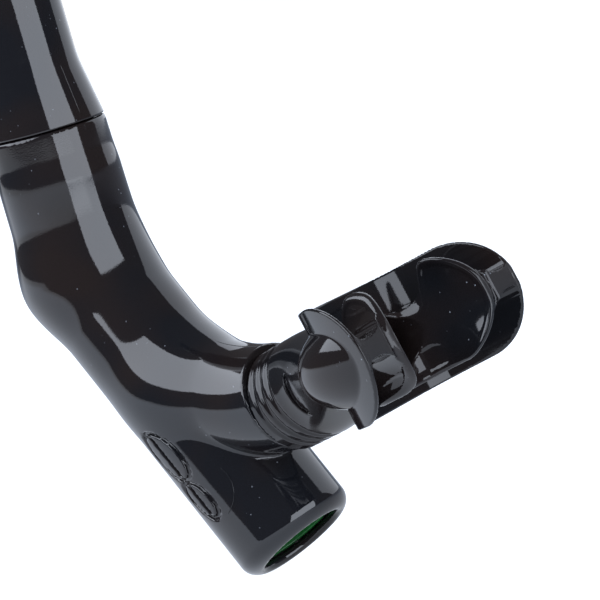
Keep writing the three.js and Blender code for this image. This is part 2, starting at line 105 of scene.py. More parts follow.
ELBOW_BORE_R = 14.0  # at the joint; the bore narrows from this to the spigot's
BORE_START = 2.0  # where the barrel's bore starts along it
BARREL_BLEND = 6.0  # between the barrel and the straight part above it
SADDLE_BLEND = 5.0  # added between elbow and barrel, most at the middle of their crease
SADDLE_START, SADDLE_TOP, SADDLE_END = 24.0, 40.0, 60.0
SPIGOT_ROOT = 6.0  # the spigot starts this far inside the elbow
SPIGOT_BORE_FROM, SPIGOT_BORE_TO = -9.0, 19.0

LEAF_WAY = 22.5  # the relief's distance round the barrel from its underside
LEAVES = ((52.0, 7.5, 4.6), (65.5, 5.6, 3.6))  # place along the barrel, half length, half width
GROOVE_HALF_W = 0.5
GROOVE_DEPTH = 0.9
VEIN_HALF_W = 0.35
TRACE_ALONG, TRACE_WAY, TRACE_R, TRACE_BARREL_R = 66.0, 27.0, 7.0, 15.6  # ejector's round trace

SHIELD_ARCH = (30.6, 25.9, 26.5, 4.3)  # front, wrap, half width, power
LOBE_ARCH = (32.6, 23.8, 16.8, 5.0)
SHIELD_END_UPPER, SHIELD_END_LOWER = 16.5, 14.0  # lengths of the shield's oval ends
LOBE_HALF_H = 12.0
LOBE_END, LOBE_START, LOBE_START_FROM = 11.5, 5.5, 10.8  # oval ends of the inner walls
DISH, DISH_UPPER, DISH_LOWER = 1.0, 2.5, 4.2  # how far the inner walls curve over, and its growth
MIDDLE_N = 0.3  # height of the bite webs' middle plane
AIR_HALF_W, AIR_HALF_H, AIR_N = 11.0, 7.4, -0.9  # air hole in the front wall
COLLAR_T, COLLAR_RISE = 1.3, 2.6  # low collar round the air hole
FLARE_START, FLARE_LENGTH, FLARE_HALF_W, FLARE_HALF_H = 11.0, 26.0, 19.5, 9.2
CHEEK_CENTRE = (44.5, 15.7, -0.2)
CHEEK_RADII = (17.5, 10.85, 10.4)
SLEEVE_BORE_R = 9.7
RIB_GROOVES = ((2.9, 0.11), (5.8, 0.13), (8.8, 0.155))  # place along the neck, lean

TUBE_SPIGOT_R = 12.2
FOOT_HEIGHT = 15.0  # the tube's conical foot

HOUSING_R, HOUSING_BORE_R, HOUSING_LENGTH = 11.9, 10.5, 22.0
LEDGE_FROM, LEDGE_TO, SEAT_T = 9.2, 11.8, 2.0
SPOKE_HALF_W, SPOKE_R, HUB_R, HUB_BORE_R = 1.0, 10.0, 4.0, 1.9
FLAP_R, STEM_R, KNOB_R, KNOB_HEIGHT = 10.0, 1.6, 2.5, 2.2
VALVE_LIFT = 1.5
AXIS_R = 0.01  # a turned profile that reaches the axis starts this close to it

COLLAR_R, COLLAR_HALF_H = 15.3, 11.0
BOSS_R, STUD_R, STUD_HEAD_R = 6.0, 2.5, 4.3
CLIP_HALF_W, CLIP_HALF_H = 9.0, 15.5
CLIP_FROM, CLIP_TO = 17.6, 29.7  # along x
STRAP_FROM, STRAP_TO, STRAP_HALF_H = 21.8, 27.2, 13.0  # way for the strap
TOOTH_PITCH = 3.0

CUP_SLEEVE_R, CUP_WAIST_R, CUP_RIM_R, CUP_STOP_Z = 14.1, 14.4, 14.7, 152.3
DOME_HEIGHT, GUARD_WALL = 9.0, 1.8
WINDOW_HALF_W, WINDOW_FROM, WINDOW_TO = 7.5, 161.0, 174.0
BAFFLE_R, STALK_R = 13.2, 2.2


# ---------- curves and distances, worked out on whole arrays ----------
def smooth_union(a, b, blend):
    """The smaller of two distances, with a parabola of width blend where they meet."""
    mix = np.clip(0.5 + 0.5 * (b - a) / blend, 0, 1)
    return b + (a - b) * mix - blend * mix * (1 - mix)


def smooth_cut(a, b, blend):
    """What of a isn't in b: the larger of a and minus b, with a rounded edge."""
    return -smooth_union(-a, b, blend)


def smooth_common(a, b, blend):
    """What a and b share: the larger distance, with a rounded edge."""
    return -smooth_union(-a, -b, blend)


def rounded_corner(u, v, radius):
    """Distance to a quarter plane u < 0, v < 0 whose corner is rounded with that radius."""
    p, q = u + radius, v + radius
    return np.hypot(np.maximum(p, 0), np.maximum(q, 0)) + np.minimum(np.maximum(p, q), 0) - radius


def ellipse_gap(u, v, half_u, half_v):
    """First-order distance to an ellipse: (e - 1) over the slope of e, with e the scaled radius."""
    e = np.sqrt((u / half_u) ** 2 + (v / half_v) ** 2) + 1e-9
    slope = np.sqrt((u / half_u**2) ** 2 + (v / half_v**2) ** 2) / e + 1e-9
    return (e - 1) / slope


def slab(v, low, high):
    """Distance to the layer between two values."""
    return np.abs(v - (low + high) / 2) - (high - low) / 2


def ease(t):
    """Smooth step from 0 to 1."""
    t = np.clip(t, 0, 1)
    return t * t * (3 - 2 * t)


def to_neck(x, z):
    """Coordinates along the neck's axis and across it, from the elbow's end."""
    c, s = math.cos(NECK_TILT), math.sin(NECK_TILT)
    dx, dz = x - NECK_CENTRE[0], z - NECK_CENTRE[1]
    return dx * c + dz * s, dz * c - dx * s


def from_neck(points):
    """Points given as along, across and up in the neck's frame, in the model's frame."""
    c, s = math.cos(NECK_TILT), math.sin(NECK_TILT)
    a, y, n = points.T
    return np.stack([NECK_CENTRE[0] + a * c - n * s, y, NECK_CENTRE[1] + a * s + n * c], 1)


def to_barrel(x, z):
    """Coordinates along the purge barrel's axis and across it, in the plane of symmetry."""
    c, s = math.cos(BARREL_TILT), math.sin(BARREL_TILT)
    dz = z - BARREL_TOP_Z
    return x * s - dz * c, x * c + dz * s


def from_barrel(points):
    """Points given as along, sideways and across in the barrel's frame, in the model's frame."""
    c, s = math.cos(BARREL_TILT), math.sin(BARREL_TILT)
    length, y, across = points.T
    return np.stack([length * s + across * c, y, BARREL_TOP_Z - length * c + across * s], 1)


def from_valve(points):
    """Points given in the valve's frame, whose z runs down the barrel, in the model's frame."""
    return from_barrel(np.stack([points[:, 2], points[:, 1], -points[:, 0]], 1))


def elbow_points():
    """The four control points of the elbow's centre line, in x and z."""
    start = np.array([0.0, SEAM_Z - ELBOW_STRAIGHT])
    back = np.array([math.cos(ELBOW_END_TILT), math.sin(ELBOW_END_TILT)])
    return np.array([start, start - [0, ELBOW_HANDLES[0]],
                     NECK_CENTRE - back * ELBOW_HANDLES[1], NECK_CENTRE])


def bezier(t, order=0):
    """The elbow's cubic centre line at t, or its first or second derivative."""
    p = elbow_points()
    for _ in range(order):
        p = np.diff(p, axis=0) * (len(p) - 1)
    t = np.asarray(t)[..., None]
    if order == 0:
        return ((1 - t) ** 3 * p[0] + 3 * (1 - t) ** 2 * t * p[1]
                + 3 * (1 - t) * t * t * p[2] + t**3 * p[3])
    if order == 1:
        return (1 - t) ** 2 * p[0] + 2 * (1 - t) * t * p[1] + t * t * p[2]
    return (1 - t) * p[0] + t * p[1]


def elbow_radius(t, sizes):
    """Outside radius along the elbow: it shrinks with the power 1.5 of the length passed."""
    steps = np.linspace(0, 1, 400)
    pieces = np.linalg.norm(np.diff(bezier(steps), axis=0), axis=1)
    length = ELBOW_STRAIGHT + np.append(0, np.cumsum(pieces))
    share = np.interp(t, steps, length) / length[-1]
    return sizes.joint_radius / MM + (sizes.neck_radius - sizes.joint_radius) / MM * share**1.5


def nearest_on_elbow(x, z):
    """Parameter and distance of the nearest point of the elbow's centre line: a search, then
    Newton steps."""
    steps = np.linspace(0, 1, 60)
    line = bezier(steps)
    t = steps[((x[..., None] - line[:, 0]) ** 2 + (z[..., None] - line[:, 1]) ** 2).argmin(-1)]
    for _ in range(4):
        gap = bezier(t) - np.stack([x, z], -1)
        first, second = bezier(t, 1), bezier(t, 2)
        slope = (first * first).sum(-1) + (gap * second).sum(-1)
        t = np.clip(t - (gap * first).sum(-1) / np.maximum(slope, 1), 0, 1)
    return t, np.linalg.norm(bezier(t) - np.stack([x, z], -1), axis=-1)


def nearest_on_arch(a, y, arch):
    """Signed distance (positive inside the mouth), arc length of the foot point and the arc length
    at the half width, for the arch a = front + wrap (|y| / half width) ^ power: a search, then
    Newton steps."""
    front, wrap, half, power = arch

    def height(t, order=0):
        scale = {0: 1, 1: power, 2: power * (power - 1)}[order]
        value = wrap * scale * (np.abs(t) / half) ** (power - order) / half**order
        return front + value if order == 0 else value * (np.sign(t) if order == 1 else 1)

    steps = np.linspace(-half * 1.25, half * 1.25, 161)
    t = steps[((a[..., None] - height(steps)) ** 2 + (y[..., None] - steps) ** 2).argmin(-1)]
    for _ in range(4):
        lift = height(t) - a
        slope = 1 + height(t, 1) ** 2 + lift * height(t, 2)
        t = t - ((t - y) + lift * height(t, 1)) / np.maximum(slope, 0.5)
    rise = height(t, 1)
    offset = ((a - height(t)) - (y - t) * rise) / np.sqrt(1 + rise**2)
    fine = np.linspace(0, half * 1.3, 800)
    length = np.append(0, np.cumsum(np.hypot(np.diff(fine), np.diff(height(fine)))))
    return offset, np.interp(np.abs(t), fine, length), np.interp(half, fine, length)


# ---------- mesh making ----------
def new_object(name, points, faces, material, body, nodes, normals=None):
    """A mesh object from arrays in millimetres, riding on a body and standing for CAD nodes."""
    mesh = bpy.data.meshes.new(name)
    mesh.vertices.add(len(points))
    mesh.vertices.foreach_set("co", (np.asarray(points) * MM).astype(np.float32).ravel())
    if isinstance(faces, list):
        sizes, loops = [len(f) for f in faces], np.concatenate([f.ravel() for f in faces])
    else:
        sizes, loops = np.full(len(faces), faces.shape[1]), faces.ravel()
    mesh.loops.add(len(loops))
    mesh.loops.foreach_set("vertex_index", loops.astype(np.int32))
    mesh.polygons.add(len(sizes))
    mesh.polygons.foreach_set("loop_start", np.append(0, np.cumsum(sizes)[:-1]).astype(np.int32))
    mesh.polygons.foreach_set("use_smooth", np.full(len(sizes), True))
    mesh.update(calc_edges=True)
    mesh.validate()
    if normals is not None:
        mesh.normals_split_custom_set_from_vertices(normals.astype(np.float32))
    mesh.materials.append(material)
    obj = bpy.data.objects.new(name, mesh)
    bpy.context.scene.collection.objects.link(obj)
    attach(obj, body)
    if nodes:
        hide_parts(*nodes)
    return obj


def grid_faces(rows, columns, wrap_rows=False, wrap_columns=True):
    """Quads of a grid of points, row by row; either direction may close on itself."""
    r = np.arange(rows if wrap_rows else rows - 1)
    c = np.arange(columns if wrap_columns else columns - 1)
    r, c = (g.ravel() for g in np.meshgrid(r, c, indexing="ij"))
    r2, c2 = (r + 1) % rows, (c + 1) % columns
    return np.stack([r * columns + c, r * columns + c2, r2 * columns + c2, r2 * columns + c], 1)


def rounded_profile(corners, steps=6):
    """A closed line of (radius, height, rounding) corners, each cut back by its rounding and
    bridged by a quadratic curve."""
    corners = np.asarray(corners, float)
    point, before, after = corners[:, :2], np.roll(corners[:, :2], 1, 0), np.roll(corners[:, :2], -1, 0)
    to_before, to_after = before - point, after - point
    cut = np.minimum(corners[:, 2], 0.49 * np.minimum(
        np.linalg.norm(to_before, axis=1), np.linalg.norm(to_after, axis=1)))[:, None]
    first = point + to_before / np.linalg.norm(to_before, axis=1)[:, None] * cut
    last = point + to_after / np.linalg.norm(to_after, axis=1)[:, None] * cut
    t = np.linspace(0, 1, steps + 1)[None, :, None]
    line = (1 - t) ** 2 * first[:, None] + 2 * (1 - t) * t * point[:, None] + t**2 * last[:, None]
    line = line.reshape(-1, 2)
    return line[np.linalg.norm(line - np.roll(line, 1, 0), axis=1) > 1e-6]


def turned(corners, segments=96, place=None):
    """Surface of revolution of a closed rounded profile: (r cos u, r sin u, z)."""
    line = rounded_profile(corners)
    area = (line[:, 0] * np.roll(line[:, 1], -1) - np.roll(line[:, 0], -1) * line[:, 1]).sum()
    if area < 0:
        line = line[::-1]
    turn = np.linspace(0, 2 * math.pi, segments, endpoint=False)
    r, z = line[:, :1], line[:, 1:]
    points = np.stack([r * np.cos(turn), r * np.sin(turn), z + 0 * turn], -1).reshape(-1, 3)
    faces = grid_faces(len(line), segments, wrap_rows=True)
    return (place(points) if place else points), faces[:, ::-1]


def swept(line, radius, sides=8):
    """A round thread of that radius along a line of points, closed by a fan at each end."""
    line = np.asarray(line, float)
    tangent = np.gradient(line, axis=0)
    tangent /= np.linalg.norm(tangent, axis=1)[:, None]
    side = np.cross(tangent, [0.31, 0.87, 0.38])
    side /= np.linalg.norm(side, axis=1)[:, None]
    up = np.cross(tangent, side)
    turn = np.linspace(0, 2 * math.pi, sides, endpoint=False)
    ring = radius * np.sin(np.linspace(0.02, math.pi - 0.02, len(line))) ** 0.2
    points = (line[:, None] + ring[:, None, None] * (
        np.cos(turn)[None, :, None] * side[:, None] + np.sin(turn)[None, :, None] * up[:, None]))
    points = points.reshape(-1, 3)
    faces = list(grid_faces(len(line), sides))
    faces += [np.arange(sides)[::-1], np.arange(sides) + sides * (len(line) - 1)]
    return points, faces


def gradient(field, points, probe=0.05):
    """Central differences of a field at points."""
    out = np.empty_like(points)
    for axis in range(3):
        step = np.zeros(3)
        step[axis] = probe
        out[:, axis] = (field(*(points + step).T) - field(*(points - step).T)) / (2 * probe)
    return out


def field_surface(field, low, high, step):
    """Closed surface where a distance field is zero: a regular grid is sampled, polygonised,
    and each point then slides along the field's gradient until the field is zero there."""
    low, high = np.asarray(low, float), np.asarray(high, float)
    count = np.ceil((high - low) / step).astype(int) + 1
    axes = [low[i] + step * np.arange(count[i]) for i in range(3)]
    x, y, z = axes[0][:, None, None], axes[1][None, :, None], axes[2][None, None, :]
    values = np.broadcast_to(field(x, y, z), count).astype(np.float32)
    grid = openvdb.FloatGrid()
    grid.background = 5.0
    grid.copyFromArray(np.ascontiguousarray(np.clip(values, -5, 5)))
    points, quads = grid.convertToQuads(isovalue=0.0)
    if not len(points):
        raise RuntimeError("the field has no surface inside its grid")
    points = low + np.asarray(points, float) * step
    for _ in range(3):
        slope = gradient(field, points)
        size = (slope**2).sum(1)[:, None]
        move = -field(*points.T)[:, None] * slope / np.maximum(size, 0.2)
        points = points + np.clip(move, -0.4 * step, 0.4 * step)
    slope = gradient(field, points)
    normals = slope / np.maximum(np.linalg.norm(slope, axis=1), 1e-9)[:, None]
    quads = np.asarray(quads)
    corner = points[quads]
    facing = (np.cross(corner[:, 2] - corner[:, 0], corner[:, 3] - corner[:, 1]) * normals[quads[:, 0]]).sum()
    return points, (quads[:, ::-1] if facing < 0 else quads), normals


# ---------- materials ----------
def linear(hex_colour):
    """An sRGB hex colour as linear red, green, blue."""
    value = np.array([int(hex_colour[i : i + 2], 16) for i in (1, 3, 5)]) / 255
    return tuple(np.where(value <= 0.04045, value / 12.92, ((value + 0.055) / 1.055) ** 2.4))


def add(tree, kind, settings=None, **links):
    """Adds a node, with its settings and the sockets or values of its inputs."""
    node = tree.nodes.new(kind)
    for key, value in (settings or {}).items():
        setattr(node, key, value)
    for key, value in links.items():
        numbered = key[0] == "i" and key[1:].isdigit()
        socket = node.inputs[int(key[1:]) if numbered else key.replace("_", " ")]
        if isinstance(value, bpy.types.NodeSocket):
            tree.links.new(value, socket)
        else:
            socket.default_value = value
    return node


def ramp(tree, factor, stops):
    """A colour ramp through (position, linear colour or grey) stops."""
    node = add(tree, "ShaderNodeValToRGB", i0=factor)
    while len(node.color_ramp.elements) < len(stops):
        node.color_ramp.elements.new(0.5)
    for element, (position, colour) in zip(node.color_ramp.elements, stops):
        element.position = position
        element.color = (*colour, 1) if hasattr(colour, "__len__") else (colour, colour, colour, 1)
    return node.outputs["Color"]


def new_material(name):
    """An empty material, its node tree, its shader and the object coordinates in millimetres."""
    material = bpy.data.materials.new(name)
    material.use_nodes = True
    tree = material.node_tree
    shader = tree.nodes["Principled BSDF"]
    place = add(tree, "ShaderNodeTexCoord").outputs["Object"]
    scaled = add(tree, "ShaderNodeMapping", Vector=place, Scale=(1000, 1000, 1000)).outputs["Vector"]
    return material, tree, shader, scaled


def noise(tree, place, scale, detail=2.0):
    """Value of a noise whose features are 1/scale millimetres."""
    return add(tree, "ShaderNodeTexNoise", Vector=place, Scale=scale, Detail=detail).outputs["Fac"]


def moulded(name, dark, warm, roughness, ior=1.53, wave=0.12, dust=0.5):
    """Glossy moulded plastic: near black with a warmer cast in places, a slightly wavy skin from
    the mould, fine grain in its gloss and a few dust specks."""
    material, tree, shader, place = new_material(name)
    cast = ramp(tree, noise(tree, place, 0.045, 1.0), [(0.38, dark), (0.66, warm)])
    # dust grains are about 0.3 mm and sit sparsely on the skin
    grains = add(tree, "ShaderNodeTexVoronoi", Vector=place, Scale=0.42).outputs["Distance"]
    speck = ramp(tree, grains, [(0.0, 1.0), (0.055, 1.0), (0.085, 0.0)])
    patches = ramp(tree, noise(tree, place, 0.09, 3.0), [(0.5, 0.0), (0.62, dust)])
    specks = add(tree, "ShaderNodeMath", {"operation": "MULTIPLY"}, i0=speck, i1=patches).outputs[0]
    dust_grey = (*linear("#8d939b"), 1)
    colour = add(tree, "ShaderNodeMix", {"data_type": "RGBA"}, i0=specks, i6=cast, i7=dust_grey)
    tree.links.new(colour.outputs[2], shader.inputs["Base Color"])
    gloss = add(tree, "ShaderNodeMapRange", i0=noise(tree, place, 0.5, 4.0),
                i3=roughness * 0.75, i4=roughness * 1.3)
    matt = add(tree, "ShaderNodeAttribute", {"attribute_name": "matt"}).outputs["Fac"]
    surface = add(tree, "ShaderNodeMix", i0=matt, i2=gloss.outputs[0], i3=0.5).outputs[0]
    tree.links.new(surface, shader.inputs["Roughness"])
    skin = add(tree, "ShaderNodeBump", Strength=wave, Distance=0.0003, Height=noise(tree, place, 0.1, 1.0))
    grain = add(tree, "ShaderNodeBump", Strength=0.08, Distance=0.00005, Height=noise(tree, place, 3.0, 2.0),
                Normal=skin.outputs[0])
    tree.links.new(grain.outputs[0], shader.inputs["Normal"])
    shader.inputs["IOR"].default_value = ior
    return material


def grained(name, base, worn, roughness, grain_size=0.6, depth=0.04):
    """Satin moulded plastic with a fine spark-eroded grain and lighter rubbed patches."""
    material, tree, shader, place = new_material(name)
    rub = ramp(tree, noise(tree, place, 0.12, 5.0), [(0.42, base), (0.75, worn)])
    tree.links.new(rub, shader.inputs["Base Color"])
    gloss = add(tree, "ShaderNodeMapRange", i0=noise(tree, place, 0.3, 4.0),
                i3=roughness * 0.8, i4=roughness * 1.25)
    tree.links.new(gloss.outputs[0], shader.inputs["Roughness"])
    bump = add(tree, "ShaderNodeBump", Strength=0.5, Distance=depth * MM,
               Height=noise(tree, place, 1 / grain_size, 3.0))
    tree.links.new(bump.outputs[0], shader.inputs["Normal"])
    return material


MATERIALS = {}


def make_materials(colours):
    """One procedural material for each finish."""
    black, warm = tuple(colours.body_black), tuple(colours.body_warm)
    # PVC pulled from a polished mould: wet-looking gloss, faint brown cast where light gets in
    MATERIALS["polished_pvc"] = moulded("polished_pvc", black, warm, 0.05)
    # liquid silicone rubber: a little softer gloss, more dust because it is tacky
    MATERIALS["moulded_silicone"] = moulded("moulded_silicone", tuple(colours.mouthpiece_black), warm, 0.06,
                                            ior=1.45, dust=0.7)
    # hard ABS with a fine spark-eroded grain
    MATERIALS["grained_abs"] = grained("grained_abs", linear("#141518"), linear("#1f2024"), 0.42)
    green, tree, shader, place = new_material("green_polypropylene")
    # translucent polypropylene: cloudy green, lets light through its wall
    stops = [(0.3, tuple(colours.valve_green)), (0.8, linear("#1f6e30"))]
    tree.links.new(ramp(tree, noise(tree, place, 0.1, 3.0), stops), shader.inputs["Base Color"])
    shader.inputs["Roughness"].default_value = 0.28
    shader.inputs["Subsurface Weight"].default_value = 0.15
    shader.inputs["Subsurface Radius"].default_value = (0.002, 0.005, 0.002)
    MATERIALS["green_polypropylene"] = green
    clear, tree, shader, place = new_material("milky_silicone")
    # thin silicone membrane: milky, soft gloss
    stops = [(0.3, linear("#98a39c")), (0.8, linear("#b9c1bb"))]
    tree.links.new(ramp(tree, noise(tree, place, 0.3, 3.0), stops), shader.inputs["Base Color"])
    shader.inputs["Roughness"].default_value = 0.35
    shader.inputs["Transmission Weight"].default_value = 0.35
    MATERIALS["milky_silicone"] = clear
    band, tree, shader, place = new_material("bright_vinyl_tape")
    # fluorescent vinyl band: flat bright green with a fine embossed grain
    stops = [(0.3, tuple(colours.band_green)), (0.8, linear("#58d062"))]
    tree.links.new(ramp(tree, noise(tree, place, 0.2, 4.0), stops), shader.inputs["Base Color"])
    shader.inputs["Roughness"].default_value = 0.45
    emboss = add(tree, "ShaderNodeBump", Strength=0.4, Distance=0.00006,
                 Height=add(tree, "ShaderNodeTexVoronoi", Vector=place, Scale=0.9).outputs["Distance"])
    tree.links.new(emboss.outputs[0], shader.inputs["Normal"])
    MATERIALS["bright_vinyl_tape"] = band


# ---------- user sizes and colours ----------
def length(name, description, default):
    """A size property in metres."""
    return FloatProperty(name=name, description=description, default=default, min=0.0001, precision=5,
                         unit="LENGTH", subtype="DISTANCE")


def colour(name, description, hex_colour):
    """A linear colour property from an sRGB hex value."""
    return FloatVectorProperty(name=name, description=description, default=linear(hex_colour), min=0, max=1,
                               size=3, subtype="COLOR")


class SnorkelSizes(bpy.types.PropertyGroup):
    joint_radius: length("Joint radius", "Outside radius of the lower body where it meets the tube", 0.015)
    neck_radius: length("Neck radius", "Outside radius of the elbow at the mouthpiece", 0.0128)
    body_wall: length("Body wall", "Wall thickness of the elbow", 0.0026)
    barrel_radius: length("Barrel radius", "Outside radius of the purge barrel at its outlet", 0.01545)
    lip_rounding: length("Lip rounding", "Rounding of the outlet's outer edge", 0.004)
    body_crease: length("Body crease", "Width of the blend between elbow and barrel", 0.0016)
    tube_radius: length("Tube radius", "Outside radius of the straight tube", 0.0125)
    tube_bore: length("Tube bore", "Bore radius of the straight tube", 0.0106)
    sleeve_radius: length("Sleeve radius", "Outside radius of the mouthpiece's sleeve", 0.0124)
    shield_thickness: length("Shield thickness", "Thickness of the lip shield", 0.00095)
    shield_height: length("Shield half height", "Half the height of the lip shield", 0.01395)
    lobe_thickness: length("Lobe thickness", "Thickness of the walls behind the teeth", 0.0012)
    bite_thickness: length("Bite half thickness", "Half the thickness of the bite webs", 0.0023)


class SnorkelColours(bpy.types.PropertyGroup):
    body_black: colour("Body black", "Main colour of the body and tube", "#131418")
    body_warm: colour("Body warm cast", "Warmer cast in the black", "#1e1817")
    mouthpiece_black: colour("Mouthpiece black", "Main colour of the mouthpiece", "#141518")
    valve_green: colour("Valve green", "Colour of the purge valve's housing", "#0f3d18")
    band_green: colour("Band green", "Colour of the high-visibility band", "#3fbf4a")
    floor_sheet: colour("Floor sheet", "Colour of the back-lit floor sheet", "#8f959e")


# ---------- lower body ----------
def lower_body_field(sizes):
    """Distance to the lower body: tubes along a bent and a straight line, blended, less their bores."""
    joint_r, wall = sizes.joint_radius / MM, sizes.body_wall / MM
    end_r, lip = sizes.barrel_radius / MM, sizes.lip_rounding / MM
    crease = sizes.body_crease / MM

    def field(x, y, z):
        shape = np.broadcast_arrays(x, z)
        t, in_plane = nearest_on_elbow(*shape)
        radius = elbow_radius(t, sizes)
        elbow = np.hypot(in_plane, y) - radius
        elbow_bore = np.hypot(in_plane, y) - np.minimum(
            radius - wall, ELBOW_BORE_R - (ELBOW_BORE_R - SPIGOT_BORE_R) * t)
        along, across = to_barrel(x, z)
        reach = np.hypot(across, y)
        barrel_r = BARREL_TOP_R + (end_r - BARREL_TOP_R) * np.clip(along / BARREL_LENGTH, 0, 1)
        barrel = rounded_corner(reach - barrel_r, along - BARREL_LENGTH, lip)
        barrel = np.where(along < 0, np.hypot(reach, along) - BARREL_TOP_R, barrel)
        drop = np.clip((SEAM_Z - z) / (SEAM_Z - BARREL_TOP_Z), 0, 1)
        rod_r = joint_r + (BARREL_TOP_R - joint_r) * drop
        rod = np.hypot(np.hypot(x, y), np.maximum(BARREL_TOP_Z - z, 0)) - rod_r
        back = smooth_union(barrel, rod, BARREL_BLEND)
        a, n = to_neck(x, z)
        around_neck = np.hypot(n, y)
        elbow = smooth_common(elbow, a, 0.5)
        rise = ease((along - SADDLE_START) / (SADDLE_TOP - SADDLE_START))
        soft = crease + SADDLE_BLEND * rise * ease((SADDLE_END - along) / (SADDLE_END - SADDLE_TOP))
        outside = smooth_union(elbow, back, soft)
        outside = smooth_common(outside, z - SEAM_Z, 0.8)
        spigot = np.maximum(around_neck - SPIGOT_R, slab(a, -SPIGOT_ROOT, SPIGOT_LENGTH))
        outside = np.minimum(outside, spigot)
        outside = mark(outside, along, across, y, barrel_r)
        seat_top = BARREL_LENGTH - LIP_DEPTH - SEAT_LENGTH
        bore_r = np.where(along > seat_top, SEAT_R, BARREL_BORE_R)
        barrel_bore = np.maximum(reach - bore_r, slab(along, BORE_START, BARREL_LENGTH - LIP_DEPTH))
        bores = smooth_union(elbow_bore, barrel_bore, 0.8)
        spigot_bore = np.maximum(around_neck - SPIGOT_BORE_R, slab(a, SPIGOT_BORE_FROM, SPIGOT_BORE_TO))
        bores = np.minimum(bores, spigot_bore)
        bores = np.minimum(bores, np.maximum(np.hypot(x, y) - SOCKET_R, SEAM_Z - SOCKET_DEPTH - z))
        outlet = np.maximum(reach - OUTLET_R, BARREL_LENGTH - LIP_DEPTH - 1 - along)
        return smooth_cut(smooth_cut(outside, bores, 0.3), outlet, 1.6)

    def mark(outside, along, across, y, radius):
        """A generic moulded relief on the side of the barrel: two leaves, each the outline of an
        ellipse with a vein along its middle."""
        round_way = np.arctan2(-y, -across) * radius - LEAF_WAY
        grooves = 5.0
        for place, half_length, half_width in LEAVES:
            edge = ellipse_gap(along - place - 0.5 * round_way, round_way, half_length, half_width)
            vein = np.maximum(np.abs(round_way) - VEIN_HALF_W, edge + 1.2)
            grooves = np.minimum(grooves, np.minimum(np.abs(edge) - GROOVE_HALF_W, vein))
        return smooth_cut(outside, smooth_common(grooves, -GROOVE_DEPTH - outside, 0.4), 0.5)

    return field


